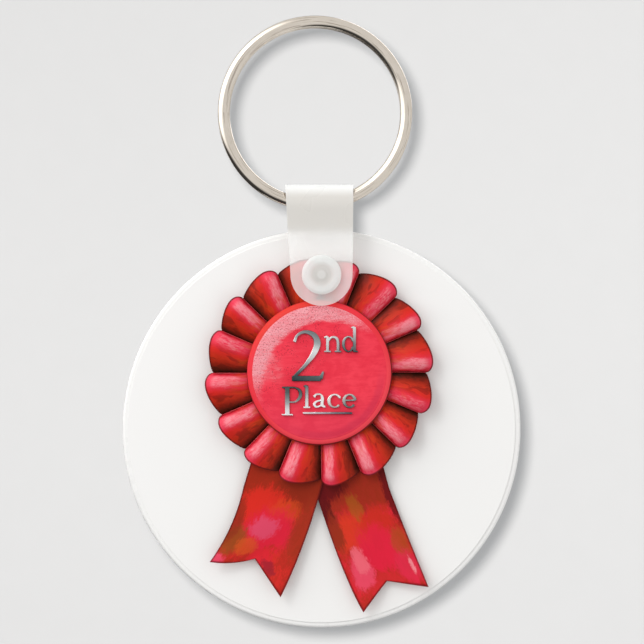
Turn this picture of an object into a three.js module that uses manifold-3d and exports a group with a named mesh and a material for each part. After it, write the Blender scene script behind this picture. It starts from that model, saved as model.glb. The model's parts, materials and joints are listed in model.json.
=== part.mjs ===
// Award-ribbon key-ring tag: a split ring, a clear strap with a snap, a round white tag,
// and on the tag a pleated satin rosette with a covered button, silver lettering and two tails.
// Millimetres, +Z up, the front faces -Y. The origin is the hang point, the ring's inner top.
import * as THREE from 'three';
import { mergeVertices } from 'three/addons/utils/BufferGeometryUtils.js';
import { ParametricGeometry } from 'three/addons/geometries/ParametricGeometry.js';
import Module from 'manifold-3d';

const wasm = await Module();
wasm.setup();

// --- driving dimensions ---
const gap = 0.02; // between flat faces that rest on each other
const ring = { innerR: 12, wireRadial: 1.9, wireAxial: 1.1, pitch: 1.2, jogAt: 270, jog: 26 };
const strap = {
  x: 0.6, top: -22.4, inner: 3.0, wall: 0.5, // half the clear width between its legs, and its wall
  wideTop: 9.7, wideSnap: 8.8, endR: 4.4,
};
const snap = {
  x: 0.93, z: -35.2, holeR: 1.4, postR: 1.1, socketR: 2.6, socketT: 0.9,
  capR: 2.8, capT: 0.7, raisedR: 1.74, raisedFoot: 1.62, nubR: 0.6, nubFoot: 0.7,
};
const tag = {
  x: 0.93, z: -57.2, R: 28.575, front: 0.3, back: 2.7, edge: 0.45, sheet: 0.15, sheetInset: 0.35,
};
const rosette = { x: 0.64, z: -49.1, R: 16.4, innerR: 6.0, back: -0.86, cloth: 0.3 };
const flute = { count: 16, low: 0.25, rise: 1.45, opensAt: 8.5, openBy: 14.2, notch: 1.5, roundOver: 1.6 };
const pad = { R: 8.0, front: 0.0 };
const card = { R: 12.0, back: -0.02, front: -0.34 };
const tail = { cloth: 0.2, rightBack: -0.38, leftBack: -0.62, hingeZ: -65.6, split: 0.3 };
const button = {
  R: 10.35, rimBand: 0.8, rimBack: -1.72, rimFront: -2.85, rimRound: 0.25, coverWall: 0.14,
  shellFront: -2.95, wall: 0.22, shoulder: 1.6, shoulderDrop: 0.08, lip: 0.5, lipDrop: 0.3, sideDrop: 0.8,
};
const letters = { back: -3.22, depth: 0.3, bevel: 0.07 };
const staple = { wire: 0.36, crown: 4.4, leg: 0.75, hole: 0.32, z: 1.7 };
const thread = { R: 7.2, wire: 0.24, y: -1.42 };

const degree = Math.PI / 180;

// --- finishes ---
const finish = (color, roughness, metalness, opacity = 1) =>
  ({ color, roughness, metalness, opacity, transparent: opacity < 1 });
const nickel = finish(0xc8beb0, 0.22, 1);
const clearStrap = finish(0xf0efec, 0.35, 0, 0.7);
const clearSnap = finish(0xe6e4e0, 0.3, 0, 0.8);
const glossWhite = finish(0xf2f1ef, 0.25, 0);
const cardboard = finish(0xe8e2d4, 0.9, 0);
const foam = finish(0xd8d8d4, 0.95, 0);
const satinRed = finish(0xdc2d46, 0.45, 0);
const buttonRed = finish(0xeb4655, 0.5, 0);
const tin = finish(0xb8b8b8, 0.4, 1);
const silver = finish(0xb4b6b8, 0.25, 1);
const threadRed = finish(0xb0202f, 0.8, 0);

// --- solids ---
// A geometry as one closed indexed mesh of positions only, with its faces pointing out.
function closed(geometry) {
  const bare = geometry.clone();
  for (const name of Object.keys(bare.attributes)) if (name !== 'position') bare.deleteAttribute(name);
  const merged = mergeVertices(bare, 1e-3);
  const position = merged.attributes.position;
  for (let i = 0; i < position.array.length; i++) {
    position.array[i] = Math.round(position.array[i] * 1e4) / 1e4;
  }
  const corners = [0, 1, 2].map(() => new THREE.Vector3());
  const kept = [];
  let volume = 0;
  for (let i = 0; i < merged.index.count; i += 3) {
    const face = [0, 1, 2].map((k) => merged.index.getX(i + k));
    if (new Set(face).size < 3) continue;
    kept.push(face);
    face.forEach((v, k) => corners[k].fromBufferAttribute(position, v));
    volume += corners[0].dot(corners[1].clone().cross(corners[2]));
  }
  merged.setIndex(kept.flatMap(([a, b, c]) => (volume > 0 ? [a, b, c] : [a, c, b])));
  return merged;
}

function toManifold(geometry) {
  const mesh = closed(geometry);
  return new wasm.Manifold(new wasm.Mesh({
    numProp: 3,
    vertProperties: new Float32Array(mesh.attributes.position.array),
    triVerts: new Uint32Array(mesh.index.array),
  }));
}

function fromManifold(manifold) {
  const mesh = manifold.getMesh();
  const geometry = new THREE.BufferGeometry();
  geometry.setAttribute('position', new THREE.BufferAttribute(new Float32Array(mesh.vertProperties), 3));
  geometry.setIndex(Array.from(mesh.triVerts));
  return geometry;
}

const union = (pieces) => fromManifold(pieces.map(toManifold).reduce((a, b) => a.add(b)));
const cut = (body, ...tools) =>
  fromManifold(tools.map(toManifold).reduce((a, b) => a.subtract(b), toManifold(body)));
const common = (a, b) => fromManifold(toManifold(a).intersect(toManifold(b)));

const X = new THREE.Vector3(1, 0, 0);
const Y = new THREE.Vector3(0, 1, 0);
const Z = new THREE.Vector3(0, 0, 1);

// A front outline in X and Z, as a plate from y = back towards the viewer.
function plate(shape, back, thickness, { curveSegments = 12, bevel = 0 } = {}) {
  const geometry = new THREE.ExtrudeGeometry(shape, {
    depth: thickness - 2 * bevel, curveSegments,
    bevelEnabled: bevel > 0, bevelSize: bevel, bevelThickness: bevel, bevelOffset: -bevel, bevelSegments: 1,
  });
  geometry.translate(0, 0, bevel);
  geometry.applyMatrix4(new THREE.Matrix4().makeBasis(X, Z, Y.clone().negate()));
  return geometry.translate(0, back, 0);
}

// A side outline in Y and Z, extruded along X and centred on x.
function channel(shape, x, width, curveSegments) {
  const geometry = new THREE.ExtrudeGeometry(shape, { depth: width, curveSegments, bevelEnabled: false });
  geometry.applyMatrix4(new THREE.Matrix4().makeBasis(Y, Z, X));
  return geometry.translate(x - width / 2, 0, 0);
}

// A turned piece about a front-to-back axis at (x, z), from [radius, y] pairs.
function turned(profile, x, z, segments = 48) {
  const points = profile.map(([r, y]) => new THREE.Vector2(r, y));
  return new THREE.LatheGeometry(points, segments).translate(x, 0, z);
}

const ringProfile = (inner, outer, back, front) =>
  [[inner, back], [outer, back], [outer, front], [inner, front], [inner, back]];
const pin = (x, z, radius, y0, y1, segments = 32) =>
  turned([[0, y0], [radius, y0], [radius, y1], [0, y1]], x, z, segments);

const group = new THREE.Group();
function add(name, geometry, look) {
  const mesh = new THREE.Mesh(closed(geometry), new THREE.MeshStandardMaterial(look));
  mesh.name = name;
  group.add(mesh);
}

// --- split ring: two coils side by side, joined by a short sideways jog ---
class CoilPath extends THREE.Curve {
  getPoint(t, target = new THREE.Vector3()) {
    const side = 360 - ring.jog;
    const turn = t * (2 * side + ring.jog);
    const across = THREE.MathUtils.smoothstep(turn, side, side + ring.jog);
    const angle = (ring.jogAt + ring.jog / 2 + turn) * degree;
    const r = ring.innerR + ring.wireRadial / 2;
    return target.set(r * Math.cos(angle), (across - 0.5) * ring.pitch, r * Math.sin(angle) - ring.innerR);
  }
}

function makeRing() {
  const { wireAxial, wireRadial } = ring;
  const section = new THREE.Shape().absellipse(0, 0, wireAxial / 2, wireRadial / 2, 0, 2 * Math.PI);
  const options = { steps: 84, curveSegments: 4, bevelEnabled: false, extrudePath: new CoilPath() };
  add('split_ring', new THREE.ExtrudeGeometry(section, options), nickel);
}

// --- strap: one strip folded over the ring, with a leg before and behind the tag ---
function strapSide() {
  const { inner, wall, top } = strap;
  const foldZ = top - inner;
  const low = snap.z - strap.endR - 1;
  const side = new THREE.Shape();
  side.moveTo(inner + wall, low);
  side.lineTo(inner + wall, foldZ);
  side.absarc(0, foldZ, inner + wall, 0, Math.PI, false);
  side.lineTo(-inner - wall, low);
  side.lineTo(-inner, low);
  side.lineTo(-inner, foldZ);
  side.absarc(0, foldZ, inner, Math.PI, 0, true);
  side.lineTo(inner, low);
  return side;
}

function strapFront() {
  const half = strap.wideTop / 2;
  const top = strap.top + 2 * strap.wall;
  const front = new THREE.Shape();
  front.moveTo(strap.x - half, top);
  front.lineTo(snap.x - strap.wideSnap / 2, snap.z);
  front.absarc(snap.x, snap.z, strap.wideSnap / 2, Math.PI, 2 * Math.PI, false);
  front.lineTo(strap.x + half, top);
  return front;
}

function makeStrap() {
  const deep = strap.inner + 2 * strap.wall;
  const folded = channel(strapSide(), strap.x, strap.wideTop + 4, 12);
  const outline = plate(strapFront(), deep, 2 * deep, { curveSegments: 16 });
  const hole = pin(snap.x, snap.z, snap.holeR, -deep, deep, 24);
  add('strap', cut(common(folded, outline), hole), clearStrap);
}

// --- snap: a cap with its post in front, and the socket that grips the post behind ---
function makeSnap() {
  const face = strap.inner + strap.wall + gap;
  const { capR, capT, postR, socketR, socketT, raisedR, raisedFoot, nubR, nubFoot } = snap;
  const postEnd = face + socketT / 2;
  const step = 0.25; // height of the cap's raised middle and of its edge round
  const flat = -face - capT;
  const raised = flat - step * 0.6;
  add('snap_cap', turned([
    [0, postEnd], [postR, postEnd], [postR, -face], [capR, -face], [capR, flat + step],
    [capR - step, flat], [raisedR, flat], [raisedFoot, raised], [nubFoot, raised],
    [nubR, flat - step], [0, flat - step],
  ], snap.x, snap.z, 40), clearSnap);
  const bore = postR + 0.2;
  add('snap_socket', turned([
    [bore, face], [socketR, face], [socketR, face + socketT - step], [socketR - step, face + socketT],
    [0, face + socketT], [0, postEnd + 0.2], [bore, postEnd + 0.2], [bore, face],
  ], snap.x, snap.z, 40), clearSnap);
}

// --- tag: a white core between two glossy sheets, with the snap's hole ---
function makeTag() {
  const { x, z, R, front, back, sheet, sheetInset, edge } = tag;
  const hole = pin(snap.x, snap.z, snap.holeR, -1, 4, 24);
  const core = [front + sheet + gap, back - sheet - gap];
  add('tag_core', cut(turned([
    [0, core[0]], [R - edge, core[0]], [R, core[0] + edge], [R, core[1] - edge], [R - edge, core[1]],
    [0, core[1]],
  ], x, z, 72), hole), glossWhite);
  const sheets = { tag_front_sheet: front, tag_back_sheet: back - sheet };
  for (const [name, y] of Object.entries(sheets)) {
    add(name, cut(pin(x, z, R - edge - sheetInset, y, y + sheet, 72), hole), glossWhite);
  }
}

// --- backing: foam pad, card, and the two staples through the card and the tails' tabs ---
const staplePlaces = {
  staple_left: { x: rosette.x - 2.9, z: rosette.z - staple.z },
  staple_right: { x: rosette.x + 2.9, z: rosette.z - staple.z },
};

function stapleHoles() {
  return Object.values(staplePlaces).flatMap(({ x, z }) => [-1, 1].map((side) =>
    pin(x, z + side * (staple.crown - staple.wire) / 2, staple.wire / 2 + staple.hole, -1.5, 0.2, 12)));
}

function makeBacking() {
  add('adhesive_pad', pin(rosette.x, rosette.z, pad.R, pad.front, tag.front - gap, 32), foam);
  const disc = pin(rosette.x, rosette.z, card.R, card.front, card.back, 48);
  add('back_card', cut(disc, ...stapleHoles()), cardboard);
  const outside = staple.crown / 2;
  const inside = outside - staple.wire;
  const crownBack = tail.leftBack - tail.cloth - gap;
  for (const [name, { x, z }] of Object.entries(staplePlaces)) {
    const bow = new THREE.Shape([
      [crownBack + staple.leg, z - outside], [crownBack + staple.leg, z - inside], [crownBack, z - inside],
      [crownBack, z + inside], [crownBack + staple.leg, z + inside], [crownBack + staple.leg, z + outside],
      [crownBack - staple.wire, z + outside], [crownBack - staple.wire, z - outside],
    ].map(([y, zz]) => new THREE.Vector2(y, zz)));
    add(name, channel(bow, x, staple.wire, 1), tin);
  }
}

// --- tails: a tab held under the pleats and a hanging swallow-tail, one pair on each side ---
function tabOutline(lowLeft, lowRight, highLeft, highRight) {
  const low = tail.hingeZ + tail.split;
  const high = rosette.z + 2.2;
  return new THREE.Shape([
    [lowLeft, low], [lowRight, low], [highRight, high], [highLeft, high],
  ].map(([x, z]) => new THREE.Vector2(x, z)));
}

function tailOutline({ topLeft, leftBend, leftEnd, notchBend, notch, rightEnd, rightBend, topRight }) {
  const outline = new THREE.Shape();
  outline.moveTo(topLeft, tail.hingeZ);
  outline.quadraticCurveTo(...leftBend, ...leftEnd);
  outline.quadraticCurveTo(...notchBend, ...notch);
  outline.lineTo(...rightEnd);
  outline.quadraticCurveTo(...rightBend, topRight, tail.hingeZ);
  return outline;
}

const leftTail = {
  topLeft: -10.3, leftBend: [-11.6, -71.5], leftEnd: [-15.0, -76.1], notchBend: [-11.5, -76.6],
  notch: [-8.6, -75.7], rightEnd: [-4.9, -81.1], rightBend: [-1.6, -74.6], topRight: 0.9,
};
const rightTail = {
  topLeft: 1.2, leftBend: [1.2, -73.0], leftEnd: [6.9, -83.3], notchBend: [8.9, -80.6],
  notch: [10.3, -78.9], rightEnd: [16.2, -79.7], rightBend: [13.0, -72.0], topRight: 10.6,
};

function makeTails() {
  const sides = {
    left: { back: tail.leftBack, shape: leftTail, tab: [-10.2, 0.95, -4.6, 5.2] },
    right: { back: tail.rightBack, shape: rightTail, tab: [-0.4, 10.5, -4.2, 5.6] },
  };
  for (const [side, { back, shape, tab }] of Object.entries(sides)) {
    const flat = plate(tabOutline(...tab), back, tail.cloth);
    add(`tail_${side}_tab`, cut(flat, ...stapleHoles()), satinRed);
    add(`tail_${side}`, plate(tailOutline(shape), back, tail.cloth, { curveSegments: 8 }), satinRed);
  }
}

// --- pleated ribbon: sixteen puffed flutes that open outwards and round over at their ends ---
const fluteHeight = (r, arch) =>
  (flute.low + flute.rise * THREE.MathUtils.smoothstep(r, flute.opensAt, flute.openBy)) * arch;

const pleatRows = 5; // from the inner edge to the outer one, on each face

function pleatPoint(u, v, target) {
  const across = ((u * flute.count) % 1) - 0.5; // -0.5 and 0.5 are the valleys, 0 is the crest
  const arch = Math.sqrt(Math.max(0, Math.cos(across * Math.PI)));
  const outer = rosette.R - flute.notch * (1 - arch);
  const row = Math.round(v * (2 * pleatRows + 2)) % (2 * pleatRows + 2);
  const onFront = row <= pleatRows; // out along the front, then back along the rear
  const along = (onFront ? row : 2 * pleatRows + 1 - row) / pleatRows;
  const r = THREE.MathUtils.lerp(rosette.innerR, outer, along);
  const bend = Math.max(0, (r - outer) / flute.roundOver + 1);
  const over = Math.sqrt(Math.max(0, 1 - bend ** 2));
  const rear = rosette.back - fluteHeight(r, arch) * over;
  const angle = u * 2 * Math.PI;
  const y = onFront ? rear - rosette.cloth : rear;
  target.set(rosette.x + r * Math.sin(angle), y, rosette.z + r * Math.cos(angle));
}

function makePleats() {
  const ruffle = new ParametricGeometry(pleatPoint, flute.count * 6, 2 * pleatRows + 2);
  const hole = pin(snap.x, snap.z, snap.holeR, -4, 0, 24);
  add('pleated_ribbon', cut(ruffle, hole), satinRed);
  add('gathering_thread', turned(ringProfile(
    thread.R - thread.wire / 2, thread.R + thread.wire / 2, thread.y, thread.y - thread.wire,
  ), rosette.x, rosette.z, 32), threadRed);
}

// --- centre button: back plate, stamped shell, cloth cover and rolled rim ---
function dome(outer, back, front, wall) {
  const { shoulder, shoulderDrop, lip, lipDrop, sideDrop } = button;
  return [
    [0, front], [outer - shoulder, front + shoulderDrop], [outer - lip, front + lipDrop],
    [outer, front + sideDrop], [outer, back],
    [outer - wall, back], [outer - wall, front + sideDrop + wall / 2],
    [outer - lip - wall, front + lipDrop + wall], [outer - shoulder, front + shoulderDrop + wall],
    [0, front + wall],
  ];
}

function makeButton() {
  const { x, z } = rosette;
  const inside = button.R - button.rimBand;
  const { coverWall, rimBack, rimFront, rimRound: round, R } = button;
  const shellR = inside - coverWall - 2 * gap;
  const plateBack = rimBack + 2 * gap;
  const plateR = shellR - button.wall - 5 * gap;
  add('button_back', pin(x, z, plateR, plateBack - 0.2, plateBack, 40), tin);
  add('button_shell', turned(dome(shellR, plateBack, button.shellFront, button.wall), x, z, 40), tin);
  const coverFront = button.shellFront - coverWall - gap;
  add('button_cover', turned(dome(inside - gap, plateBack, coverFront, coverWall), x, z, 40), buttonRed);
  add('button_rim', turned([
    [inside, rimBack], [R - round, rimBack], [R, rimBack - round], [R, rimFront + round],
    [R - round, rimFront], [inside + round, rimFront], [inside, rimFront + round], [inside, rimBack],
  ], x, z, 40), buttonRed);
}

// --- raised lettering: plain roman characters, each a few pen strokes joined into one outline ---
// Strokes are placed from the button's centre: u to the right, v up. A stroke's width changes along it.
function stroke(points, widths, steps = 12) {
  const line = new THREE.CatmullRomCurve3(points.map(([u, v]) => new THREE.Vector3(u, v, 0)));
  const left = [];
  const right = [];
  for (let i = 0; i <= steps; i++) {
    const t = i / steps;
    const at = line.getPoint(t);
    const along = line.getTangent(t);
    const place = Math.min(t * (widths.length - 1), widths.length - 1.0001);
    const k = Math.floor(place);
    const half = THREE.MathUtils.lerp(widths[k], widths[k + 1], place - k) / 2;
    left.push([at.x - along.y * half, at.y + along.x * half]);
    right.unshift([at.x + along.y * half, at.y - along.x * half]);
  }
  return new wasm.CrossSection([[...left, ...right]], 'NonZero');
}

const bar = (u0, v0, u1, v1, width) => stroke([[u0, v0], [u1, v1]], [width, width], 1);

// Part of an oval, thick at its left and right and thin at its top and bottom.
function oval(u, v, ru, rv, from, to, thin, thick) {
  const steps = 16;
  const angleAt = (i) => THREE.MathUtils.lerp(from, to, i / steps) * degree;
  const angles = Array.from({ length: steps + 1 }, (_, i) => angleAt(i));
  const points = angles.map((angle) => [u + ru * Math.cos(angle), v + rv * Math.sin(angle)]);
  const widths = angles.map((angle) => THREE.MathUtils.lerp(thin, thick, Math.cos(angle) ** 2));
  return stroke(points, widths, steps);
}

function glyphs() {
  const thin = 0.24; // hairlines and feet
  const small = { low: 2.9, high: 5.25, top: 6.6, stem: 0.42 }; // the raised letters
  const word = { low: -5.0, high: -2.95, top: -1.7, stem: 0.46 }; // the small letters below
  const capital = { low: -6.05, top: -1.95, stem: 0.62 };
  const foot = (u, v, half) => bar(u - half, v + thin / 2, u + half, v + thin / 2, thin);
  const flag = (u, v, reach) =>
    stroke([[u - reach, v - reach * 0.55], [u, v - 0.08]], [0.23, thin * 1.3], 2);
  const middle = (size) => (size.low + size.high) / 2;
  const half = (size) => (size.high - size.low) / 2 - thin / 2;
  return {
    numeral_2: [
      stroke([[-3.55, 4.35], [-3.1, 5.35], [-2.0, 5.8], [-0.75, 5.3], [-0.3, 4.2], [-0.75, 2.85],
        [-1.9, 1.2], [-3.6, -0.6]], [0.42, 0.34, 0.5, 0.8, 0.98, 0.8, 0.5, 0.42], 28),
      bar(-3.9, -0.8, 0.2, -0.8, 0.76),
      stroke([[0.1, -0.8], [0.35, -0.35], [0.55, 0.2]], [0.76, 0.42, 0.24], 4),
    ],
    letter_n: [
      bar(1.15, small.low, 1.15, small.high - 0.1, small.stem), flag(1.15, small.high, 0.5),
      stroke([[1.2, 4.45], [1.75, 5.05], [2.4, 4.9], [2.62, 4.3], [2.62, small.low]],
        [thin, thin * 1.2, small.stem, small.stem, small.stem], 12),
      foot(1.15, small.low, 0.5), foot(2.62, small.low, 0.5),
    ],
    letter_d: [
      oval(4.1, middle(small), 0.72, half(small), 20, 340, thin, small.stem),
      bar(4.95, small.low, 4.95, small.top - 0.1, small.stem), flag(4.95, small.top, 0.45),
      foot(5.15, small.low, 0.3),
    ],
    letter_P: [
      bar(-4.55, capital.low, -4.55, capital.top, capital.stem), foot(-4.55, capital.low, 0.8),
      bar(-5.3, capital.top - thin / 2, -3.9, capital.top - thin / 2, thin),
      stroke([[-4.3, capital.top - thin / 2], [-3.4, capital.top - 0.16], [-2.75, -2.6], [-2.75, -3.4],
        [-3.4, -4.08], [-4.4, -4.14]], [thin, thin, capital.stem * 0.8, capital.stem * 0.8, thin, thin], 16),
    ],
    letter_l: [
      bar(-1.8, word.low, -1.8, word.top - 0.1, word.stem), flag(-1.8, word.top, 0.45),
      foot(-1.8, word.low, 0.5),
    ],
    letter_a: [
      stroke([[-0.8, -3.45], [-0.45, word.high - 0.1], [0.15, word.high - 0.12], [0.4, -3.5], [0.4, -4.6],
        [0.85, word.low + 0.14]], [0.4, thin, thin, word.stem, word.stem, thin], 16),
      stroke([[0.4, -3.85], [-0.4, -4.05], [-0.75, -4.45], [-0.45, -4.84], [0.35, -4.55]],
        [thin, thin, word.stem * 0.85, thin * 1.2, thin], 12),
    ],
    letter_c: [
      oval(2.15, middle(word), 0.82, half(word), 35, 322, thin, word.stem),
      stroke([[2.86, -3.66], [2.86, -3.3]], [0.3, 0.3], 1),
    ],
    letter_e: [
      oval(4.25, middle(word), 0.8, half(word), 5, 325, thin, word.stem),
      bar(3.6, middle(word) + 0.08, 5.1, middle(word) + 0.08, thin * 0.95),
    ],
    underline_bar: [bar(-2.35, -5.7, 4.65, -5.7, 0.3)],
  };
}

const outline = (polygon) => polygon.map(([u, v]) => new THREE.Vector2(u, v));

// Rounds off every corner too tight for the bevel to follow.
const eased = (section) => {
  const tight = letters.bevel + 0.03;
  return section.offset(-tight, 'Round', 2, 8).offset(tight, 'Round', 2, 8).simplify(0.01);
};

function makeLetters() {
  for (const [name, strokes] of Object.entries(glyphs())) {
    const polygons = eased(strokes.reduce((a, b) => a.add(b))).toPolygons();
    const size = (polygon) => Math.abs(THREE.ShapeUtils.area(outline(polygon)));
    const [rim, ...holes] = polygons.sort((a, b) => size(b) - size(a));
    const shape = new THREE.Shape(outline(rim));
    shape.holes = holes.map((hole) => new THREE.Path(outline(hole)));
    const raised = plate(shape, letters.back, letters.depth, { bevel: letters.bevel });
    add(name, raised.translate(rosette.x, 0, rosette.z), silver);
  }
}

makeRing();
makeStrap();
makeSnap();
makeTag();
makeBacking();
makeTails();
makePleats();
makeButton();
makeLetters();

export default group;
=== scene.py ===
import json
import math
import random

import bmesh
import bpy
from mathutils import Matrix, Vector, noise

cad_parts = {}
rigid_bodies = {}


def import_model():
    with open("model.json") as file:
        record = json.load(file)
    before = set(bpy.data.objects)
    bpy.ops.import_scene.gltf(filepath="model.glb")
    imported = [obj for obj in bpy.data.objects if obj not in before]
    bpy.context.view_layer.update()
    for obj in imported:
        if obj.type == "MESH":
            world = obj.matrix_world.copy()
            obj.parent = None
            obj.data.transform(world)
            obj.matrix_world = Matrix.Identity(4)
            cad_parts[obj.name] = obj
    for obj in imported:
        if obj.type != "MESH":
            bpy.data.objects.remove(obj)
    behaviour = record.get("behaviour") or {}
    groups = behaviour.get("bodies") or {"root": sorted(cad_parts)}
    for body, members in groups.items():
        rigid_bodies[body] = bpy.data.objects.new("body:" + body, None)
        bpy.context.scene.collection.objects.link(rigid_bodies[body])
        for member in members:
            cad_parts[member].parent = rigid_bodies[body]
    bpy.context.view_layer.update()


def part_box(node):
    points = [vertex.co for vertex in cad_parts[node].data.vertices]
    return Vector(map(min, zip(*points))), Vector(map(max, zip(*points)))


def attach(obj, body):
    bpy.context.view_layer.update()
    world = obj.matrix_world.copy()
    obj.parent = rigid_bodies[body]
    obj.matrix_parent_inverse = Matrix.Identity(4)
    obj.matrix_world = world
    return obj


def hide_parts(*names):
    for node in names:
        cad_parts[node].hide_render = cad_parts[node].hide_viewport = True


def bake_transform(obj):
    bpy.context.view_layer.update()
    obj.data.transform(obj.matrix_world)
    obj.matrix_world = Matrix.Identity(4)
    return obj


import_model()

mm = 0.001
sceneObjects = bpy.context.scene.collection.objects


def middle(node):
    low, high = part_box(node)
    return (low + high) / 2


def tone(code):  # a screen colour such as "dc2d46" as the shader's linear red, green and blue
    parts = [int(code[k:k + 2], 16) / 255 for k in (0, 2, 4)]
    return tuple(c / 12.92 if c < 0.04045 else ((c + 0.055) / 1.055) ** 2.4 for c in parts)


def smoothStep(x, low, high):
    t = min(1.0, max(0.0, (x - low) / (high - low)))
    return t * t * (3 - 2 * t)


def between(a, b, t):
    return a + (b - a) * t


# shader tools: sums on values become Math nodes
class Value:
    def __init__(self, net, socket):
        self.net = net
        self.socket = socket

    def __add__(self, other):
        return self.net.maths("ADD", self, other)

    def __radd__(self, other):
        return self.net.maths("ADD", other, self)

    def __sub__(self, other):
        return self.net.maths("SUBTRACT", self, other)

    def __rsub__(self, other):
        return self.net.maths("SUBTRACT", other, self)

    def __mul__(self, other):
        return self.net.maths("MULTIPLY", self, other)

    def __rmul__(self, other):
        return self.net.maths("MULTIPLY", other, self)

    def __truediv__(self, other):
        return self.net.maths("DIVIDE", self, other)


class Net:
    def __init__(self, owner, shader="Principled BSDF"):  # the owner is a material or the world
        owner.use_nodes = True
        self.owner = owner
        self.tree = owner.node_tree
        self.shader = self.tree.nodes[shader]

    def plug(self, socket, value):
        if isinstance(value, Value):
            self.tree.links.new(value.socket, socket)
        elif socket.type == "RGBA":
            colour = tone(value) if isinstance(value, str) else value
            socket.default_value = (*colour, 1)
        else:
            socket.default_value = value

    def node(self, kind, settings=None, inputs=None, out=0):
        made = self.tree.nodes.new(kind)
        for key, value in (settings or {}).items():
            if key != "stops":
                setattr(made, key, value)
                continue
            stops = made.color_ramp.elements
            while len(stops) < len(value):
                stops.new(1)
            for stop, (place, code) in zip(stops, value):
                stop.position = place
                stop.color = (*tone(code), 1)
        for key, value in (inputs or {}).items():
            self.plug(made.inputs[key], value)
        return Value(self, made.outputs[out])

    def maths(self, operation, a, b=0.0, clamp=False):
        return self.node("ShaderNodeMath", {"operation": operation, "use_clamp": clamp},
                         {0: a, 1: b})

    def vector(self, operation, a, b=(0, 0, 0), out=0):
        return self.node("ShaderNodeVectorMath", {"operation": operation}, {0: a, 1: b}, out)

    def length(self, where):
        return self.vector("LENGTH", where, out="Value")

    def mix(self, factor, a, b):
        return self.node("ShaderNodeMix", {"data_type": "RGBA"}, {0: factor, 6: a, 7: b}, 2)

    def ramp(self, where, stops):
        return self.node("ShaderNodeValToRGB", {"stops": stops}, {0: where})

    def step(self, value, low, high):
        return self.node("ShaderNodeMapRange", {"interpolation_type": "SMOOTHSTEP"},
                         {"Value": value, "From Min": low, "From Max": high})

    def place(self, centre=(0, 0, 0), scale=(1, 1, 1)):
        here = self.node("ShaderNodeTexCoord", out="Object")
        moved = self.vector("SUBTRACT", here, tuple(centre))
        return self.node("ShaderNodeMapping", {}, {"Vector": moved, "Scale": scale})

    def attribute(self, name):
        return self.node("ShaderNodeAttribute", {"attribute_name": name}, out="Vector")

    def noise(self, where, scale, detail=3.0, rough=0.5, distortion=0.0):
        return self.node("ShaderNodeTexNoise", {},
                         {"Vector": where, "Scale": scale, "Detail": detail,
                          "Roughness": rough, "Distortion": distortion})

    def join(self, x=0.0, y=0.0, z=0.0):
        return self.node("ShaderNodeCombineXYZ", {}, {0: x, 1: y, 2: z})

    def parts(self, where):
        split = self.tree.nodes.new("ShaderNodeSeparateXYZ")
        self.plug(split.inputs[0], where)
        return [Value(self, socket) for socket in split.outputs]

    def bump(self, height, distance, strength=1.0):
        return self.node("ShaderNodeBump", {},
                         {"Height": height, "Distance": distance, "Strength": strength})

    def set(self, **values):
        for key, value in values.items():
            self.plug(self.shader.inputs[key.replace("_", " ")], value)
        return self.owner


def finish(name):
    return Net(bpy.data.materials.new(name))


# mesh tools
def asObject(bm, name):
    mesh = bpy.data.meshes.new(name)
    bm.to_mesh(mesh)
    bm.free()
    made = bpy.data.objects.new(name, mesh)
    sceneObjects.link(made)
    return made


def piece(bm, name, body, material, replaced=()):
    made = asObject(bm, name)
    made.data.materials.append(material)
    for face in made.data.polygons:
        face.use_smooth = True
    if body:  # a piece that is still to be cut or thickened is left without a body here; the strap, tag and pleats are attached afterwards, the tails never are
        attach(made, body)
    if replaced:
        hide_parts(*replaced)
    return made


def settled(made):
    graph = bpy.context.evaluated_depsgraph_get()
    mesh = bpy.data.meshes.new_from_object(made.evaluated_get(graph))
    made.modifiers.clear()
    made.data = mesh


def thicken(made, wall):
    solid = made.modifiers.new("wall", "SOLIDIFY")
    solid.thickness = wall
    solid.offset = 0
    settled(made)


def fillet(points, radius, steps=5):
    rounded = [points[0]]
    for before, corner, after in zip(points, points[1:], points[2:]):
        a, b, c = Vector(before), Vector(corner), Vector(after)
        start = b + (a - b).normalized() * min(radius, (a - b).length * 0.48)
        end = b + (c - b).normalized() * min(radius, (c - b).length * 0.48)
        for k in range(steps + 1):
            t = k / steps
            rounded.append(tuple(start * (1 - t) ** 2 + b * 2 * t * (1 - t) + end * t ** 2))
    return rounded + [points[-1]]


def chain(bm, points):
    verts = [bm.verts.new(point) for point in points]
    return verts + [bm.edges.new(pair) for pair in zip(verts, verts[1:])]


def fullSpin(bm, centre, axis, steps, gap=1e-6):
    bmesh.ops.spin(bm, geom=bm.verts[:] + bm.edges[:], cent=centre, axis=axis, dvec=(0, 0, 0),
                   angle=2 * math.pi, steps=steps, use_merge=True, use_duplicate=False)
    bmesh.ops.remove_doubles(bm, verts=bm.verts, dist=gap)
    bmesh.ops.recalc_face_normals(bm, faces=bm.faces)


def turned(profile, centre, sides):  # a profile of radius and depth, turned about the middle
    bm = bmesh.new()
    chain(bm, [(centre.x + radius, y, centre.z) for radius, y in profile])
    fullSpin(bm, (centre.x, 0, centre.z), (0, 1, 0), sides)
    return bm


def cutHole(made, centre, radius, low, high):
    bm = bmesh.new()
    bmesh.ops.create_cone(bm, cap_ends=True, segments=64, radius1=radius, radius2=radius,
                          depth=high - low)
    bmesh.ops.rotate(bm, verts=bm.verts, cent=(0, 0, 0),
                     matrix=Matrix.Rotation(math.pi / 2, 3, "X"))
    bmesh.ops.translate(bm, verts=bm.verts, vec=(centre.x, (low + high) / 2, centre.z))
    cutter = asObject(bm, "cutter")
    mesh = cutter.data
    hole = made.modifiers.new("hole", "BOOLEAN")
    hole.object = cutter
    hole.solver = "EXACT"
    settled(made)
    bpy.data.objects.remove(cutter)
    bpy.data.meshes.remove(mesh)


def smoothByAngle(made, degrees):
    for face in made.data.polygons:
        face.use_smooth = True
    made.data.set_sharp_from_angle(angle=math.radians(degrees))


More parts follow.
